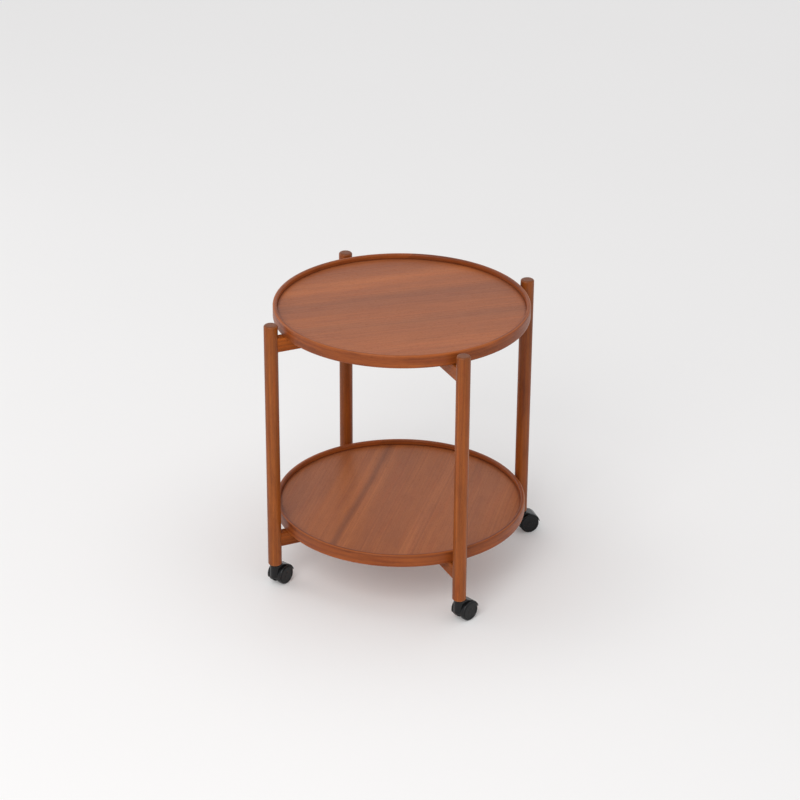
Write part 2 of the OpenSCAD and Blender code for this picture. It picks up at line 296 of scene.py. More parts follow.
def pick_edges(piece, test):
    """Selects the edges whose two ends pass the test."""
    bpy.ops.mesh.select_all(action="DESELECT")
    bpy.ops.mesh.select_mode(type="EDGE")
    shell = bmesh.from_edit_mesh(piece.data)
    for edge in shell.edges:
        edge.select_set(test(*(end.co for end in edge.verts)))
    bmesh.update_edit_mesh(piece.data)


def pick_ring(piece, axis, *distances):
    """Selects the edges that lie at one of the distances along an axis."""
    pick_edges(
        piece, lambda a, b: any(abs(a[axis] - d) < 1e-5 and abs(b[axis] - d) < 1e-5 for d in distances)
    )


def push(offset):
    """Extrudes the selected faces by an offset."""
    bpy.ops.mesh.extrude_region_move(TRANSFORM_OT_translate={"value": tuple(offset)})


def keep_side(point, normal):
    """Cuts the whole mesh by a plane and keeps the side that the normal leaves."""
    bpy.ops.mesh.select_all(action="SELECT")
    bpy.ops.mesh.bisect(plane_co=point, plane_no=normal, use_fill=True, clear_outer=True)


def finish_with(piece, kind, **settings):
    """Adds a modifier and applies it."""
    solo(piece)
    modifier = piece.modifiers.new(kind.title(), kind)
    for key, value in settings.items():
        setattr(modifier, key, value)
    bpy.ops.object.modifier_apply(modifier=modifier.name)


def carve(piece, *cutters, operation="DIFFERENCE"):
    """Cuts pieces out of a piece, or joins them to it, and removes them."""
    for cutter in cutters:
        finish_with(piece, "BOOLEAN", operation=operation, object=cutter, solver="EXACT")
        bpy.data.objects.remove(cutter)


def copy_of(piece, name, matrix):
    """A copy with its own mesh, moved in its mesh."""
    solo(piece)
    bpy.ops.object.duplicate(linked=False)
    copy = bpy.context.object
    copy.data.transform(matrix)
    copy.name = copy.data.name = name
    return copy


def dress(piece, node, finish):
    """Smooths a finished piece, gives it its finish and lets it stand for a CAD node."""
    solo(piece)
    bpy.ops.object.shade_smooth_by_angle(angle=SMOOTH_ANGLE)
    piece.data.materials.clear()
    piece.data.materials.append(finish.material)
    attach(piece, home(node))
    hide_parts(node)
    return piece


# Materials


class Number:
    """A number in a material's nodes. Arithmetic on it adds Math nodes."""

    def __init__(self, finish, socket):
        self.finish = finish
        self.socket = socket

    def math(self, operation, *values, clamp=False):
        settings = {"operation": operation, "use_clamp": clamp}
        return Number(self.finish, self.finish.node("ShaderNodeMath", settings, dict(enumerate(values))).outputs[0])

    def __add__(self, other):
        return self.math("ADD", self, other)

    def __radd__(self, other):
        return self.math("ADD", other, self)

    def __sub__(self, other):
        return self.math("SUBTRACT", self, other)

    def __rsub__(self, other):
        return self.math("SUBTRACT", other, self)

    def __mul__(self, other):
        return self.math("MULTIPLY", self, other)

    def __rmul__(self, other):
        return self.math("MULTIPLY", other, self)

    def __truediv__(self, other):
        return self.math("DIVIDE", self, other)

    def __rtruediv__(self, other):
        return self.math("DIVIDE", other, self)

    def __pow__(self, other):
        return self.math("POWER", self, other)

    def __abs__(self):
        return self.math("ABSOLUTE", self)

    def fraction(self):
        return self.math("FRACT", self)

    def angle_from(self, other):
        """The angle of the point (other, self)."""
        return self.math("ARCTAN2", self, other)

    def rise(self, low, high):
        """0 below low, 1 above high and smooth between them. low may be the larger one."""
        settings = {"interpolation_type": "SMOOTHSTEP", "clamp": True}
        flipped = low > high
        low, high = min(low, high), max(low, high)
        sockets = {0: self, 1: low, 2: high, 3: 1.0 if flipped else 0.0, 4: 0.0 if flipped else 1.0}
        return Number(self.finish, self.finish.node("ShaderNodeMapRange", settings, sockets).outputs[0])

    def bump(self, centre, half_width):
        """1 at the centre and 0 beyond half the width on each side."""
        return abs(self - centre).rise(half_width, 0.0)


class Finish:
    """A material for one slot of the record."""

    def __init__(self, name, slot, **constants):
        # A material, which keeps the name of its slot.
        self.slot = slot
        self.material = bpy.data.materials.new(name)
        self.material.use_nodes = True
        self.tree = self.material.node_tree
        self.shader = self.tree.nodes["Principled BSDF"]
        self.point = self.node("ShaderNodeTexCoord").outputs["Object"]
        for socket, value in constants.items():
            self.shader.inputs[socket.replace("_", " ").title().replace("Ior", "IOR")].default_value = value

    def node(self, kind, settings=None, sockets=None):
        """Adds a node, with its settings first and then the values or links of its sockets."""
        node = self.tree.nodes.new(kind)
        for key, value in (settings or {}).items():
            if key == "stops":
                self.stops(node.color_ramp, value)
            else:
                setattr(node, key, value)
        for key, value in (sockets or {}).items():
            self.feed(node.inputs[key], value)
        return node

    def feed(self, socket, value):
        if isinstance(value, Number):
            value = value.socket
        if isinstance(value, bpy.types.NodeSocket):
            self.tree.links.new(value, socket)
        elif hasattr(value, "__len__") and len(value) == 3 and socket.type == "RGBA":
            socket.default_value = (*value, 1.0)
        else:
            socket.default_value = value

    @staticmethod
    def stops(ramp, values):
        for position, value in values[1:-1]:
            ramp.elements.new(position)
        for element, (position, value) in zip(ramp.elements, values):
            element.position = position
            element.color = (*value, 1.0) if hasattr(value, "__len__") else (value, value, value, 1.0)

    def place(self, vector, location=(0, 0, 0), rotation=(0, 0, 0), scale=(1, 1, 1)):
        """A vector moved, turned or stretched."""
        sockets = {"Vector": vector, "Location": location, "Rotation": rotation, "Scale": scale}
        return self.node("ShaderNodeMapping", None, sockets).outputs[0]

    def split(self, vector):
        node = self.node("ShaderNodeSeparateXYZ", None, {0: vector})
        return tuple(Number(self, socket) for socket in node.outputs)

    def join(self, *values):
        return self.node("ShaderNodeCombineXYZ", None, dict(enumerate(values))).outputs[0]

    def noise(self, vector, stretch=(1, 1, 1), detail=2.0, roughness=0.5):
        """Soft noise from 0 to 1, with as many features a metre along each axis as stretch says."""
        sockets = {"Vector": self.place(vector, scale=stretch), "Scale": 1.0, "Detail": detail, "Roughness": roughness}
        return Number(self, self.node("ShaderNodeTexNoise", None, sockets).outputs[0])

    def line_noise(self, value, detail=2.0, roughness=0.5):
        """Noise along one value."""
        settings = {"noise_dimensions": "1D"}
        sockets = {"W": value, "Scale": 1.0, "Detail": detail, "Roughness": roughness}
        return Number(self, self.node("ShaderNodeTexNoise", settings, sockets).outputs[0])

    def mix(self, amount, below, above, blend="MIX"):
        """Colours mixed by an amount."""
        settings = {"data_type": "RGBA", "blend_type": blend, "clamp_factor": True}
        return self.node("ShaderNodeMix", settings, {0: amount, 6: below, 7: above}).outputs[2]

    def seen(self):
        """1 for what the camera sees, straight or in a reflection, and 0 for what only lights."""
        rays = self.node("ShaderNodeLightPath").outputs
        seen = Number(self, rays["Is Camera Ray"])
        for kind in ("Is Glossy Ray", "Is Transmission Ray"):
            seen = seen.math("MAXIMUM", seen, Number(self, rays[kind]))
        return seen

    def set(self, tone=None, roughness=None, height=None, relief=0.00002):
        """Links what changes over the surface to the shader."""
        if tone is not None:
            self.feed(self.shader.inputs["Base Color"], tone)
        if roughness is not None:
            self.feed(self.shader.inputs["Roughness"], roughness)
        if height is not None:
            bump = self.node("ShaderNodeBump", None, {"Height": height, "Distance": relief, "Strength": 1.0})
            self.feed(self.shader.inputs["Normal"], bump.outputs[0])
        return self


class Room(Finish):
    """The nodes of the world, which has no shader of a finish."""

    def __init__(self, world):
        world.use_nodes = True
        self.tree = world.node_tree


def scaled(tone, *gains):
    """A colour with each channel multiplied."""
    return tuple(min(1.0, channel * gain) for channel, gain in zip(tone, gains))


def wood(
    finish, grain, tone, bands=None, contrast=1.0, seed=0.0, ring_pitch=3.2 * MM, wear=None, streaks=1.0, mottle=0.5
):
    """Oiled red-brown wood. grain has its fibres along X, in metres.

    Its layers are growth rings, slow bands of colour, streaks, fine fibres, redder and mottled patches,
    veins and open pores.
    """
    grain = finish.place(grain, location=(seed, seed * 0.37, seed * 0.71))
    along, across, deep = finish.split(grain)
    sway = finish.noise(grain, (2.5, 9, 9), detail=1.0)
    ring = across * 0.86 + deep * 0.5 + (sway - 0.5) * 0.012
    growth = finish.line_noise(ring / ring_pitch, detail=2.0, roughness=0.6)
    slow = finish.noise(grain, (1.6, 26, 26), detail=2.0)
    streak = finish.noise(grain, (5, 210, 210), detail=3.0, roughness=0.55)
    fibre = finish.noise(grain, (45, 1100, 1100), detail=2.0, roughness=0.6)
    pore = finish.noise(grain, (160, 2300, 2300), detail=1.0).rise(0.60, 0.70)
    vein = finish.noise(grain, (7, 420, 420), detail=2.0).rise(0.60, 0.74)
    light = scaled(tone, 1.42, 1.40, 1.30)
    dark = scaled(tone, 0.56, 0.50, 0.55)
    swing = (growth - 0.5) * 0.8 + (slow - 0.5) * 1.0 + (streak - 0.5) * (1.1 * streaks) + (fibre - 0.5) * 0.5
    colour_now = finish.mix(0.5 + swing * contrast, dark, light)
    ruddy = finish.noise(grain, (11, 130, 130), detail=2.0).rise(0.50, 0.72)
    colour_now = finish.mix(ruddy * (0.55 * contrast), colour_now, (1.04, 0.84, 0.74), blend="MULTIPLY")
    patch = finish.noise(grain, (16, 55, 55), detail=4.0, roughness=0.62)
    colour_now = finish.mix(patch.rise(0.50, 0.36) * mottle, colour_now, (0.74, 0.70, 0.74), blend="MULTIPLY")
    colour_now = finish.mix(patch.rise(0.54, 0.68) * mottle, colour_now, (1.12, 1.17, 1.10), blend="MULTIPLY")
    if bands is not None:
        colour_now = bands(finish, colour_now)
    colour_now = finish.mix(vein * (0.30 * contrast), colour_now, scaled(tone, 0.50, 0.42, 0.45))
    colour_now = finish.mix(pore * 0.45, colour_now, scaled(tone, 0.38, 0.32, 0.30))
    # The last marks: rubbing at the legs' feet and darker end grain, and painted highlight and painted shade on the
    # rims and panels.
    if wear is not None:
        colour_now = wear(finish, colour_now)
    rough = 0.40 + (fibre - 0.5) * 0.10 + (slow - 0.5) * 0.06 + pore * 0.2
    finish.set(colour_now, rough, (fibre - 0.5) * 0.35 - pore, relief=0.00003)
    return finish


def bar_finish(name, slot, tone, node, upright=False, sheen=0.27, **settings):
    """Wood with its fibres along a leg or a rail. Each piece's main tone is scaled by its gains, partly its own timber
    and partly painted shade and light.
    """
    tone = scaled(tone, *TIMBER_AND_PAINTED_LIGHT_GAINS.get(node, (1.0, 1.0, 1.0)))
    finish = Finish(name, slot, specular_ior_level=sheen)
    turn = (0, math.pi / 2, 0) if upright else (0, 0, -rail_bearing(node))
    centred = finish.place(finish.point, location=-middle(node))
    return wood(finish, finish.place(centred, rotation=turn), tone, **settings)


# How much darker or paler each piece's tone is than the main tone: partly its own timber and partly painted shade and
# light, so pieces that stand in shade are darker
TIMBER_AND_PAINTED_LIGHT_GAINS = {
    "leg_back_right": (0.91, 0.87, 0.86),
    "leg_back_left": (0.91, 0.86, 0.80),
    "leg_front_right": (0.98, 0.95, 0.92),
    "rail_a_upper": (1.12, 1.08, 0.92),
    "rail_a_lower": (0.86, 0.83, 0.84),
    "rail_b_upper": (0.92, 0.92, 0.92),
    "rail_b_lower": (0.90, 0.90, 0.90),
}


def rail_bearing(node):
    """Angle of a rail: frame a lies across 45 degrees, frame b across 315."""
    return math.radians(45 if node.startswith("rail_a") else -45)


def tray_grain(finish, angle):
    """Coordinates with X along a veneer's fibres."""
    return finish.place(finish.point, rotation=(0, 0, -math.radians(angle)))


def band_tones(bands):
    """A function that tints the veneer in bands: centre and half width in millimetres, and gains."""

    def lay(finish, colour_now):
        for across, centre, half_width, *gains in bands:
            amount = across.bump(centre * MM, half_width * MM)
            colour_now = finish.mix(amount, colour_now, tuple(gains), blend="MULTIPLY")
        return colour_now

    return lay


# Operators


class TrolleyOperator(bpy.types.Operator):
    """Shared options of the operators."""

    bl_options = {"REGISTER", "UNDO"}


class TROLLEY_OT_legs(TrolleyOperator):
    """Four round legs with rounded tops and the bores for their sockets and dowels."""

    bl_idname = "trolley.legs"
    bl_label = "Legs"

    def execute(self, context):
        sizes = context.scene.trolley_frame
        colours = context.scene.trolley_colours
        for number, corner in enumerate(CORNERS):
            node = "leg_" + corner
            low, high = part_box(node)
            centre = (low + high) / 2
            leg = drum(centre, UP, sizes.leg_radius, high.z - low.z, name="round_" + node)
            with editing(leg):
                pick_ring(leg, 2, high.z)
                bpy.ops.mesh.bevel(offset=sizes.leg_top_round, segments=8, profile=0.5, affect="EDGES")
                pick_ring(leg, 2, low.z)
                bpy.ops.mesh.bevel(offset=sizes.leg_foot_round, segments=6, profile=0.5, affect="EDGES")
                pick_faces(leg, lambda place, normal: normal.z > 0.999)
                bpy.ops.mesh.inset(thickness=0.5 * MM)
                pick_faces(leg, lambda place, normal: normal.z < -0.999)
                bpy.ops.mesh.inset(thickness=sizes.leg_radius - sizes.leg_foot_round - sizes.socket_radius)
                push((0, 0, sizes.socket_depth))
            for level in LEVELS:
                height = middle(f"rail_a_{level}").z
                carve(leg, *dowel_cutters(sizes, math.atan2(centre.y, centre.x), height))
            finish = bar_finish(
                "wood_" + node, "leg_wood", colours.leg_wood, node, upright=True,
                seed=0.31 * (number + 1), contrast=1.1, wear=leg_wear(low.z, high.z),
            )
            dress(leg, node, finish)
        return {"FINISHED"}


def dowel_cutters(sizes, angle, height):
    """Cutters for the two dowel bores of one joint."""
    outward = Vector((math.cos(angle), math.sin(angle), 0))
    leg_place = middle("leg_back_right")
    centre = outward * (leg_place.xy.length - sizes.dowel_length / 2) + UP * height
    depth = sizes.dowel_length + 1 * MM
    return [
        drum(centre + UP * side * sizes.dowel_pitch / 2, outward, sizes.dowel_bore, depth, sides=32)
        for side in (-1, 1)
    ]


def leg_wear(foot, top):
    """A paler rubbed band at a leg's foot, and darker end grain at its top."""

    def lay(finish, colour_now):
        height = finish.split(finish.point)[2]
        worn_and_painted_light = height.bump(foot + 1 * MM, 2.5 * MM) * 0.45
        end = height.rise(top - 2.5 * MM, top - 0.3 * MM) * 0.55
        colour_now = finish.mix(worn_and_painted_light, colour_now, hue(168, 108, 68))
        return finish.mix(end, colour_now, hue(112, 68, 44))

    return lay


class TROLLEY_OT_rails(TrolleyOperator):
    """Four rails with rounded edges, hollowed ends and the half laps of their crossings."""

    bl_idname = "trolley.rails"
    bl_label = "Rails"

    def execute(self, context):
        sizes = context.scene.trolley_frame
        colours = context.scene.trolley_colours
        leg_circle = middle("leg_back_right").xy.length
        fold = next(j for j in frame["joints"] if j["name"] == "frame_fold")
        closed = math.radians(90 - fold["range_deg"][1])
        for number, (side, level) in enumerate((s, v) for s in "ab" for v in LEVELS):
            node = f"rail_{side}_{level}"
            angle = rail_bearing(node)
            centre = UP * middle(node).z
            rail = block(centre, (2 * leg_circle, sizes.rail_width, sizes.rail_height), name="squared_" + node)
            with editing(rail):
                pick_edges(rail, lambda a, b: abs(a.x - b.x) > leg_circle)
                bpy.ops.mesh.bevel(offset=sizes.rail_round, segments=4, profile=0.5, affect="EDGES")
            for end in (0, math.pi):
                leg_axis = Matrix.Rotation(end, 3, "Z") @ Vector((leg_circle, 0, centre.z))
                carve(rail, drum(leg_axis, UP, sizes.leg_radius + 0.02 * MM, 2 * sizes.rail_height))
                carve(rail, *dowel_cutters(sizes, end, centre.z))
            half_lap = 1 if side == "a" else -1
            lap_size = (6 * sizes.rail_width, sizes.rail_width + 2 * sizes.lap_gap, sizes.rail_height)
            lap_centre = centre + UP * half_lap * (sizes.rail_height / 2 - sizes.lap_gap / 2)
            for turn in (math.pi / 2, -half_lap * closed):
                carve(rail, block(lap_centre, lap_size, turn))
            carve(rail, drum(centre, UP, sizes.bolt_bore, 2 * sizes.rail_height, 48))
            room = sizes.head_depth if side == "b" else sizes.nut_depth
            outside = centre - UP * half_lap * (sizes.rail_height / 2)
            carve(rail, drum(outside, UP, sizes.counterbore, 2 * room, 64))
            rail.data.transform(Matrix.Rotation(angle, 4, "Z"))
            finish = bar_finish(
                "wood_" + node, "rail_wood", colours.rail_wood, node, sheen=0.13,
                seed=0.43 * (number + 1), contrast=1.1,
            )
            dress(rail, node, finish)
        return {"FINISHED"}


class TROLLEY_OT_rims(TrolleyOperator):
    """Two bent rims with rounded edges and the groove for the panel."""

    bl_idname = "trolley.rims"
    bl_label = "Tray rims"

    def execute(self, context):
        sizes = context.scene.trolley_trays
        colours = context.scene.trolley_colours
        for number, level in enumerate(LEVELS):
            node = "rim_" + level
            low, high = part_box(node)
            height, centre = high.z - low.z, (low + high).z / 2
            inner = sizes.radius - sizes.rim_thickness
            solo()
            bpy.ops.mesh.primitive_plane_add(
                size=1, location=(inner + sizes.rim_thickness / 2, 0, centre), rotation=(math.pi / 2, 0, 0)
            )
            bpy.context.object.scale = (sizes.rim_thickness, height, 1)
            rim = settle("bent_" + node)
            tongue_half = sizes.tongue / 2 + sizes.fit_gap
            with editing(rim):
                bpy.ops.mesh.select_all(action="SELECT")
                bpy.ops.mesh.bevel(offset=sizes.rim_round, segments=7, profile=0.5, affect="VERTICES")
                for place, normal in (
                    ((0, 0, centre - tongue_half), UP),
                    ((0, 0, centre + tongue_half), UP),
                    ((inner + sizes.groove_depth, 0, 0), (1, 0, 0)),
                ):
                    bpy.ops.mesh.select_all(action="SELECT")
                    bpy.ops.mesh.bisect(plane_co=place, plane_no=normal)
                pick_faces(
                    rim,
                    lambda place, normal: abs(place.z - centre) < tongue_half
                    and place.x < inner + sizes.groove_depth,
                )
                bpy.ops.mesh.delete(type="FACE")
                bpy.ops.mesh.select_all(action="SELECT")
                bpy.ops.mesh.dissolve_faces()
                bpy.ops.mesh.select_all(action="SELECT")
                bpy.ops.mesh.delete(type="ONLY_FACE")
                bpy.ops.mesh.select_all(action="SELECT")
                bpy.ops.mesh.spin(steps=240, angle=2 * math.pi, center=(0, 0, 0), axis=(0, 0, 1))
                bpy.ops.mesh.select_all(action="SELECT")
                bpy.ops.mesh.remove_doubles(threshold=1e-6)
                bpy.ops.mesh.normals_make_consistent(inside=False)
            dress(rim, node, rim_finish(node, colours.rim_wood, centre, number, inner, sizes.radius))
        return {"FINISHED"}


def rim_finish(node, tone, centre, number, inner, outer):
    """Bent wood: the fibres run round the ring and meet in a slanting joint at the back."""
    finish = Finish("wood_" + node, "rim_wood", specular_ior_level=0.27)
    back = math.radians(110 + 14 * number)
    turned = finish.place(finish.point, rotation=(0, 0, math.pi - back))
    x, y, z = finish.split(turned)
    radius = (x * x + y * y) ** 0.5
    slant = (z - centre) * 7.0
    angle = (y.angle_from(x) + slant + math.pi) / (2 * math.pi)
    turn = angle.fraction()
    grain = finish.join(turn * (2 * math.pi * 0.24), z - centre, radius)

    def joint(finish, colour_now):
        line = (0.5 - abs(turn - 0.5)).rise(0.00035, 0.0)
        return finish.mix(line * 0.6, colour_now, scaled(tone, 0.35, 0.3, 0.3))

    def worn_and_painted_light(finish, colour_now):
        # Painted highlight: a pale bluish line along the rim's rounded outer top edge.
        edge = (z - centre).rise(11.0 * MM, 12.3 * MM) * radius.rise(outer - 3.0 * MM, outer - 1.6 * MM)
        # Painted shade: the rim's inner wall darkened just above the panel, in the corner where the two meet.
        corner = (z - centre).bump(3.2 * MM, 2.2 * MM) * radius.rise(inner + 1.0 * MM, inner)
        colour_now = finish.mix(edge * 0.85, joint(finish, colour_now), scaled(tone, 1.45, 1.65, 2.10))
        return finish.mix(corner * 0.75, colour_now, scaled(tone, 0.35, 0.28, 0.28))

    return wood(finish, grain, tone, seed=0.57 * (number + 1), contrast=1.0, wear=worn_and_painted_light, mottle=0.7)


class TROLLEY_OT_panels(TrolleyOperator):
    """Two veneered round panels, each with the tongue that sits in its rim."""

    bl_idname = "trolley.panels"
    bl_label = "Tray panels"

    def execute(self, context):
        sizes = context.scene.trolley_trays
        colours = context.scene.trolley_colours
        groove = sizes.radius - sizes.rim_thickness + sizes.groove_depth
        tongue_radius = groove - sizes.spare_depth
        panel_radius = sizes.radius - sizes.rim_thickness - sizes.fit_gap
        for level in LEVELS:
            node = "panel_" + level
            centre = middle(node)
            panel = drum(centre, UP, tongue_radius, sizes.tongue, sides=240, name="veneered_" + node)
            step = (sizes.panel_thickness - sizes.tongue) / 2
            with editing(panel):
                for side in (1, -1):
                    pick_faces(panel, lambda place, normal: normal.z * side > 0.999 and place.xy.length < 1e-4)
                    bpy.ops.mesh.inset(thickness=tongue_radius - panel_radius)
                    push((0, 0, side * step))
                    outer = centre.z + side * sizes.panel_thickness / 2
                    pick_ring(panel, 2, outer)
                    bpy.ops.mesh.bevel(offset=sizes.panel_arris, segments=3, profile=0.5, affect="EDGES")
                    pick_faces(panel, lambda place, normal: normal.z * side > 0.9999 and place.xy.length < 1e-4)
                    bpy.ops.mesh.inset(thickness=1 * MM)
            finish = upper_finish(colours) if level == "upper" else lower_finish(colours)
            dress(panel, node, finish)
        return {"FINISHED"}


def painted_corner_shade(finish, colour_now):
    """Painted shade: the panel darkened in a band 4 to 9 mm wide round its edge, in the corner where it meets its rim.
    """
    x, y, z = finish.split(finish.point)
    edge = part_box("panel_upper")[1].x
    # Painted shade along the panel's edge next to the rim.
    painted_rim_shade = ((x * x + y * y) ** 0.5).rise(edge - 9 * MM, edge - 4 * MM)
    return finish.mix(painted_rim_shade * 0.5, colour_now, (0.45, 0.38, 0.36), blend="MULTIPLY")


def upper_finish(colours):
    """Veneer with a broad greyer band through the middle, whose stripes spread a little."""
    finish = Finish("veneer_upper", "upper_veneer", specular_ior_level=0.27)
    grain = tray_grain(finish, 36)
    along, across, deep = finish.split(grain)
    bend = (finish.noise(grain, (3, 5, 5), detail=2.0) - 0.5) * 0.03
    fan = across - (across + 0.05) * along * 0.45 + bend
    bands = [
        (fan, 35, 52, 0.86, 0.90, 1.06),
        (fan, 52, 22, 0.91, 0.92, 0.96),
        (fan, 132, 40, 1.14, 1.15, 1.08),
        (fan, 92, 14, 0.94, 0.94, 1.00),
        (fan, -66, 34, 0.90, 0.95, 1.06),
        (fan, -12, 20, 1.06, 1.06, 1.00),
        (fan, -150, 50, 1.05, 1.05, 1.00),
        (fan, 196, 26, 0.93, 0.94, 1.02),
    ]
    return wood(
        finish, grain, colours.upper_veneer, bands=band_tones(bands), contrast=0.5, seed=0.9,
        wear=painted_corner_shade, streaks=0.5, mottle=0.22,
    )


def lower_finish(colours):
    """Veneer with one dark streak between two orange ones, left of the middle."""
    finish = Finish("veneer_lower", "lower_veneer", specular_ior_level=0.27)
    grain = tray_grain(finish, 97)
    along, across, deep = finish.split(grain)
    bend = (finish.noise(grain, (3, 4, 4), detail=2.0) - 0.5) * 0.014
    fan = across + along * 0.02 + bend
    bands = [
        (fan, 56, 18, 1.14, 1.18, 1.20),
        (fan, 92, 12, 1.14, 1.16, 1.10),
        (fan, 75, 11, 0.70, 0.70, 0.80),
        (fan, -62, 18, 1.12, 1.15, 1.20),
        (fan, 180, 60, 0.94, 0.98, 1.20),
        (fan, 135, 14, 1.05, 1.05, 1.00),
        (fan, 20, 26, 0.96, 0.97, 1.05),
        (fan, -150, 60, 0.95, 0.98, 1.12),
    ]
    return wood(
        finish, grain, colours.lower_veneer, bands=band_tones(bands), contrast=0.5, seed=1.7,
        wear=painted_corner_shade, streaks=0.4, mottle=0.25,
    )


class TROLLEY_OT_hoods(TrolleyOperator):
    """Four caster hoods: a rounded drum over the wheels that rises into the boss of the stem."""

    bl_idname = "trolley.hoods"
    bl_label = "Caster hoods"

    def execute(self, context):
        colours = context.scene.trolley_colours
        finish = plastic_finish("plastic_hood", "caster_plastic", colours.caster_plastic, 0.24)
        pattern = model_hood(context.scene.trolley_casters)
        for corner in CORNERS:
            dress(copy_of(pattern, "moulded_hood_" + corner, caster_matrix(corner)), "hood_" + corner, finish)
        bpy.data.objects.remove(pattern)
        return {"FINISHED"}


def caster_axle(corner):
    """The stem's and the axle's middle of a caster, and its trailing direction."""
    stem = joint_place("swivel_" + corner)
    axle = joint_place("spin_left_" + corner)
    return stem, axle, math.atan2(axle.y - stem.y, axle.x - stem.x)


def caster_matrix(corner):
    """Moves a caster's piece from the pattern, whose stem is on the Z axis and which trails along X."""
    stem, axle, turn = caster_axle(corner)
    return Matrix.Translation((stem.x, stem.y, 0)) @ Matrix.Rotation(turn, 4, "Z")


def wheel_radius():
    low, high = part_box("wheel_left_front_left")
    return (high.z - low.z) / 2


def model_hood(sizes):
    stem, axle, turn = caster_axle("front_left")
    trail = (axle - stem).xy.length
    centre = Vector((trail, 0, axle.z))
    across = Vector((0, 1, 0))
    wheel_out = sizes.web_width / 2 + sizes.side_gap + sizes.wheel_width
    room_radius = wheel_radius() + sizes.hood_gap
    radius = room_radius + sizes.hood_wall
    room_out = wheel_out + sizes.hood_gap
    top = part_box("hood_front_left")[1].z
    half_width = wheel_out - sizes.face_proud
    hood = drum(centre, across, radius, 2 * (room_out + sizes.hood_wall), 128, "hood_pattern")
    with editing(hood):
        rounding = sizes.wheel_round + sizes.hood_gap + sizes.hood_wall
        pick_ring(hood, 1, room_out + sizes.hood_wall, -room_out - sizes.hood_wall)
        bpy.ops.mesh.bevel(offset=rounding, segments=10, profile=0.5, affect="EDGES")
        keep_side((0, half_width, 0), (0, 1, 0))
        keep_side((0, -half_width, 0), (0, -1, 0))
        slope = math.radians(13)
        keep_side((trail + radius, 0, axle.z + sizes.lip_lift), (math.sin(slope), 0, -math.cos(slope)))
    boss = drum((0, 0, (axle.z + top) / 2), UP, sizes.boss_radius, top - axle.z, 96)
    back = model_hood_back(sizes, trail, axle.z, radius, top, half_width, rounding)
    web = drum(centre, across, wheel_radius() - sizes.wheel_wall - 1 * MM, sizes.web_width, 96)
    carve(hood, boss, back, web, operation="UNION")
    for side in (1, -1):
        inner = sizes.web_width / 2
        room = drum(centre + across * side * (inner + room_out) / 2, across, room_radius, room_out - inner, 128)
        with editing(room):
            pick_ring(room, 1, side * room_out)
            bpy.ops.mesh.bevel(
                offset=sizes.wheel_round + sizes.hood_gap, segments=10, profile=0.5, affect="EDGES"
            )
        carve(hood, room)
    carve(hood, drum(centre, across, sizes.axle_hole, 2 * sizes.web_width, 48))
    carve(hood, drum((0, 0, top - sizes.stem_depth + 0.01), UP, sizes.stem_hole, 0.02, 48))
    return hood


def model_hood_back(sizes, trail, axle_height, radius, top, half_width, rounding):
    """The part that slopes from the boss down to the drum and widens towards the wheels."""
    wide = half_width - rounding / 2
    back = block((trail / 2, 0, (axle_height + top) / 2), (trail, 2 * wide, top - axle_height))
    with editing(back):
        pick_faces(back, lambda place, normal: normal.x < -0.9)
        bpy.ops.transform.resize(value=(1, sizes.boss_radius / wide, 1))
        pick_faces(back, lambda place, normal: normal.x > 0.9)
        push((radius, 0, 0))
        tail = Vector((sizes.boss_radius - trail, top - axle_height))
        tangent = math.atan2(tail.y, tail.x) - math.acos(radius / tail.length)
        normal = (math.cos(tangent), 0, math.sin(tangent))
        keep_side((sizes.boss_radius, 0, top), normal)
        keep_side((trail + radius * math.cos(tangent), 0, 0), (1, 0, 0))
    return back


class TROLLEY_OT_wheels(TrolleyOperator):
    """Eight caster wheels: cups with a rounded tread, a recessed face and a hub cap."""

    bl_idname = "trolley.wheels"
    bl_label = "Caster wheels"

    def execute(self, context):
        colours = context.scene.trolley_colours
        finish = plastic_finish("plastic_wheel", "wheel_plastic", colours.wheel_plastic, 0.30)
        pattern = model_wheel(context.scene.trolley_casters)
        for corner in CORNERS:
            stem, axle, turn = caster_axle(corner)
            for side, half_turn in (("left", 0), ("right", math.pi)):
                node = f"wheel_{side}_{corner}"
                matrix = Matrix.Translation(axle) @ Matrix.Rotation(turn + half_turn, 4, "Z")
                dress(copy_of(pattern, "moulded_" + node, matrix), node, finish)
        bpy.data.objects.remove(pattern)
        return {"FINISHED"}


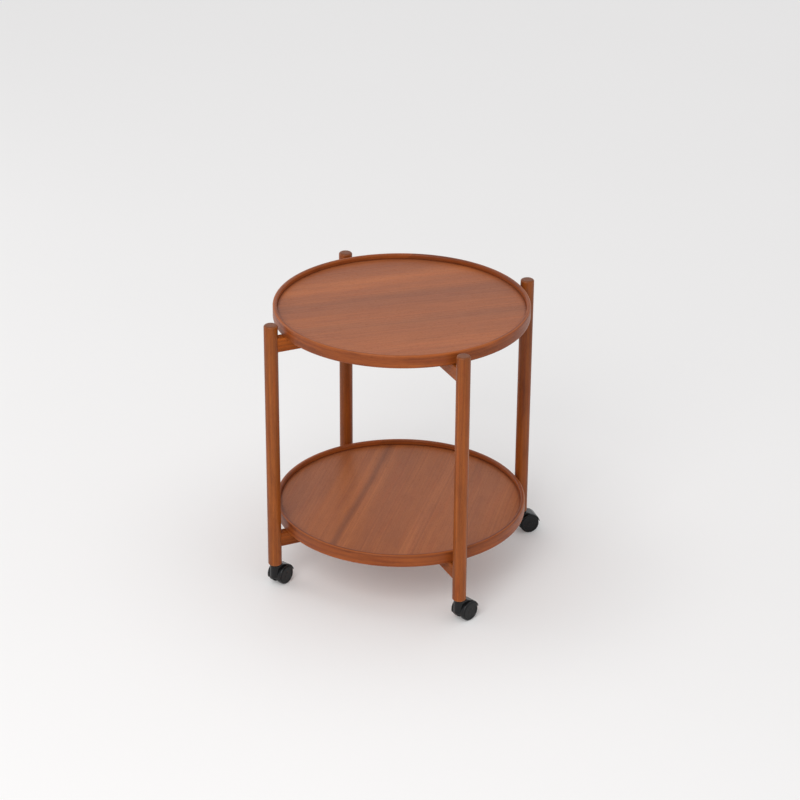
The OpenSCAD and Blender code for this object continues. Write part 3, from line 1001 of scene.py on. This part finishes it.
def model_wheel(sizes):
    """A left wheel, with the middle of the axle at the origin and its face towards -Y."""
    radius = wheel_radius()
    inner = sizes.web_width / 2 + sizes.side_gap
    outer = inner + sizes.wheel_width
    wheel = drum((0, -(inner + outer) / 2, 0), (0, 1, 0), radius, sizes.wheel_width, 128, "wheel_pattern")
    tread_inner = radius - sizes.wheel_wall
    with editing(wheel):
        pick_ring(wheel, 1, -outer)
        bpy.ops.mesh.bevel(offset=sizes.wheel_round, segments=8, profile=0.5, affect="EDGES")
        pick_ring(wheel, 1, -inner)
        bpy.ops.mesh.bevel(offset=0.4 * MM, segments=3, profile=0.5, affect="EDGES")
        pick_faces(wheel, lambda place, normal: normal.y < -0.999)
        bpy.ops.mesh.inset(thickness=sizes.wheel_band - sizes.wheel_round - 0.25 * MM)
        bpy.ops.mesh.inset(thickness=0.25 * MM)
        bpy.ops.mesh.inset(thickness=0.25 * MM)
        bpy.ops.transform.translate(value=(0, sizes.face_depth, 0))
        bpy.ops.mesh.inset(thickness=radius - sizes.wheel_band - 0.25 * MM - sizes.hub_radius - 0.25 * MM)
        bpy.ops.mesh.inset(thickness=0.3 * MM)
        bpy.ops.transform.translate(value=(0, -sizes.face_depth, 0))
        bpy.ops.mesh.inset(thickness=0.4 * MM)
        pick_faces(wheel, lambda place, normal: normal.y > 0.999)
        bpy.ops.mesh.inset(thickness=sizes.wheel_wall - 0.4 * MM)
        bpy.ops.mesh.inset(thickness=tread_inner - sizes.hub_radius)
        pick_faces(
            wheel,
            lambda place, normal: normal.y > 0.999
            and sizes.hub_radius < math.hypot(place.x, place.z) < tread_inner,
        )
        push((0, -(sizes.wheel_width - sizes.wheel_wall), 0))
        pick_faces(wheel, lambda place, normal: normal.y > 0.999 and math.hypot(place.x, place.z) < 1e-4)
        bpy.ops.mesh.inset(thickness=sizes.hub_radius - sizes.axle_bore)
        push((0, -(sizes.wheel_width - sizes.wheel_wall + 0.5 * MM), 0))
    return wheel


class TROLLEY_OT_fittings(TrolleyOperator):
    """Finishes of the dowels, pivots, sockets, stems and axles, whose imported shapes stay."""

    bl_idname = "trolley.fittings"
    bl_label = "Dowels, pivots and caster fittings"

    def execute(self, context):
        colours = context.scene.trolley_colours
        plated = steel_finish(colours.steel)
        sleeve = plastic_finish("plastic_socket", "caster_plastic", colours.caster_plastic, 0.40)
        dowel = Finish("wood_dowel", "dowel_wood", specular_ior_level=0.4)
        wood(dowel, dowel.point, colours.dowel_wood, contrast=0.5, seed=2.3)
        for name, node in frame["nodes"].items():
            if name.startswith("dowels"):
                give(node, dowel)
            elif name.startswith(("pivot", "stem", "axle")):
                give(node, plated)
            elif name.startswith("socket"):
                give(node, sleeve)
        return {"FINISHED"}


def give(node, finish):
    """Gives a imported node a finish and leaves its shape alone."""
    node.data.materials.clear()
    node.data.materials.append(finish.material)


def plastic_finish(name, slot, tone, roughness):
    """Moulded black nylon: a fine pebbled skin, with dust and rubbing that make it paler in places."""
    finish = Finish(name, slot, specular_ior_level=0.32)
    pebble = finish.noise(finish.point, (900, 900, 900), detail=2.0)
    cloud = finish.noise(finish.point, (60, 60, 60), detail=3.0)
    scuff = finish.noise(finish.point, (260, 40, 260), detail=3.0).rise(0.60, 0.80)
    height = finish.split(finish.point)[2]
    dust = height.rise(0.012, 0.0) * cloud.rise(0.35, 0.75)
    paler = scaled(tone, 2.6, 2.6, 2.5)
    colour_now = finish.mix(scuff * 0.35 + dust * 0.4, tone, paler)
    rough = roughness + (cloud - 0.5) * 0.16 + scuff * 0.12
    return finish.set(colour_now, rough, pebble, relief=0.00002)


def steel_finish(tone):
    """Zinc-plated steel with fine turning marks."""
    finish = Finish("plated_steel", "plated_steel", metallic=1.0)
    marks = finish.noise(finish.point, (300, 300, 2500), detail=2.0)
    cloud = finish.noise(finish.point, (90, 90, 90), detail=2.0)
    colour_now = finish.mix(cloud, scaled(tone, 0.86, 0.86, 0.84), scaled(tone, 1.05, 1.05, 1.07))
    return finish.set(colour_now, 0.26 + marks * 0.14, marks, relief=0.00001)


def floor_paint(stage):
    """Pale paint with a glow that only the camera and reflections see, and that grows away from the trolley."""
    paint = Finish("floor_paint", "", roughness=0.9, specular_ior_level=0.1)
    cloud = paint.noise(paint.point, (1.3, 1.3, 1.3), detail=3.0)
    tone = stage.floor_tone
    paint.set(paint.mix(cloud, scaled(tone, 0.985, 0.985, 0.985), scaled(tone, 1.015, 1.015, 1.015)))
    glow = paint.node("ShaderNodeEmission", None, {"Color": hue(253, 251, 250), "Strength": 1.0})
    across, along, _ = paint.split(paint.point)
    # Painted light: the glow is weaker near the trolley and stronger far off, so the floor is painted paler away from
    # the trolley and its shadow stays deep under it.
    far_off = (across * across + along * along).rise(stage.glow_start**2, stage.glow_end**2)
    share = far_off * (stage.far_floor_glow - stage.floor_glow) + stage.floor_glow
    both = paint.node("ShaderNodeMixShader", None, {0: paint.seen() * share})
    paint.tree.links.new(paint.shader.outputs[0], both.inputs[1])
    paint.tree.links.new(glow.outputs[0], both.inputs[2])
    paint.tree.links.new(both.outputs[0], paint.tree.nodes["Material Output"].inputs["Surface"])
    return paint.material


class TROLLEY_OT_stage(TrolleyOperator):
    """A plain pale floor, soft light and the camera at the photograph's angle.

    At the powers given, a matte colour that faces the camera renders about as it is written.
    """

    bl_idname = "trolley.stage"
    bl_label = "Floor, lights and camera"

    def execute(self, context):
        stage = context.scene.trolley_stage
        scene = context.scene
        scene.view_settings.view_transform = "Standard"
        solo()
        bpy.ops.mesh.primitive_plane_add(size=60, location=(0, 0, 0))
        floor = settle("floor")
        floor.data.materials.append(floor_paint(stage))
        self.add_room(scene, stage)
        self.add_soft_light("soft_box", 0, 40, stage.key_power)
        self.add_soft_light("window", -90, 15, stage.window_power)
        self.add_camera(scene, stage)
        return {"FINISHED"}

    @staticmethod
    def add_room(scene, stage):
        """White surroundings, seen as they are and lighting the object."""
        world = scene.world or bpy.data.worlds.new("room")
        scene.world = world
        room = Room(world)
        sky = room.tree.nodes["Background"]
        room.feed(sky.inputs["Color"], stage.sky_tone)
        paler = stage.backdrop - stage.sky_strength
        room.feed(sky.inputs["Strength"], room.seen() * paler + stage.sky_strength)

    @staticmethod
    def add_soft_light(name, bearing, elevation, power):
        """A square soft light that shines at the trolley from 3.4 m away. Bearing 0 is the -Y side."""
        aim = Vector((0, 0, 0.3))
        turn, lift = math.radians(bearing), math.radians(elevation)
        away = Vector((math.sin(turn) * math.cos(lift), -math.cos(turn) * math.cos(lift), math.sin(lift)))
        solo()
        bpy.ops.object.light_add(
            type="AREA", location=aim + 3.4 * away, rotation=(-away).to_track_quat("-Z", "Y").to_euler()
        )
        light = bpy.context.object
        light.name = name
        light.data.shape = "SQUARE"
        light.data.size = 1.6
        light.data.energy = power

    @staticmethod
    def add_camera(scene, stage):
        solo()
        bpy.ops.object.camera_add(location=stage.camera_place)
        camera = bpy.context.object
        turn = Matrix.Rotation(stage.camera_turn, 4, "Z")
        tilt = Matrix.Rotation(math.pi / 2 - stage.camera_tilt, 4, "X")
        roll = Matrix.Rotation(stage.camera_roll, 4, "Z")
        camera.matrix_world = Matrix.Translation(stage.camera_place) @ turn @ tilt @ roll
        camera.data.lens = stage.focal_length
        camera.data.sensor_width = 36
        camera.data.clip_end = 200
        scene.camera = camera


class TROLLEY_PT_panel(bpy.types.Panel):
    """Lists the steps in the sidebar, in their order."""

    bl_label = "Serving trolley"
    bl_idname = "TROLLEY_PT_panel"
    bl_space_type = "VIEW_3D"
    bl_region_type = "UI"
    bl_category = "Trolley"

    def draw(self, context):
        for operator in OPERATORS:
            self.layout.operator(operator.bl_idname)


GROUPS = {
    "trolley_frame": TrolleyFrameSizes,
    "trolley_trays": TrolleyTraySizes,
    "trolley_casters": TrolleyCasterSizes,
    "trolley_colours": TrolleyColours,
    "trolley_stage": TrolleyStage,
}
OPERATORS = (
    TROLLEY_OT_stage,
    TROLLEY_OT_legs,
    TROLLEY_OT_rails,
    TROLLEY_OT_rims,
    TROLLEY_OT_panels,
    TROLLEY_OT_hoods,
    TROLLEY_OT_wheels,
    TROLLEY_OT_fittings,
)


def register():
    for kind in (*GROUPS.values(), *OPERATORS, TROLLEY_PT_panel):
        bpy.utils.register_class(kind)
    for name, group in GROUPS.items():
        setattr(bpy.types.Scene, name, bpy.props.PointerProperty(type=group))


def unregister():
    for name in GROUPS:
        delattr(bpy.types.Scene, name)
    for kind in (TROLLEY_PT_panel, *reversed(OPERATORS), *reversed(tuple(GROUPS.values()))):
        bpy.utils.unregister_class(kind)


def main():
    register()
    for operator in OPERATORS:
        group, name = operator.bl_idname.split(".")
        getattr(getattr(bpy.ops, group), name)()
    solo()


if __name__ == "__main__":
    main()
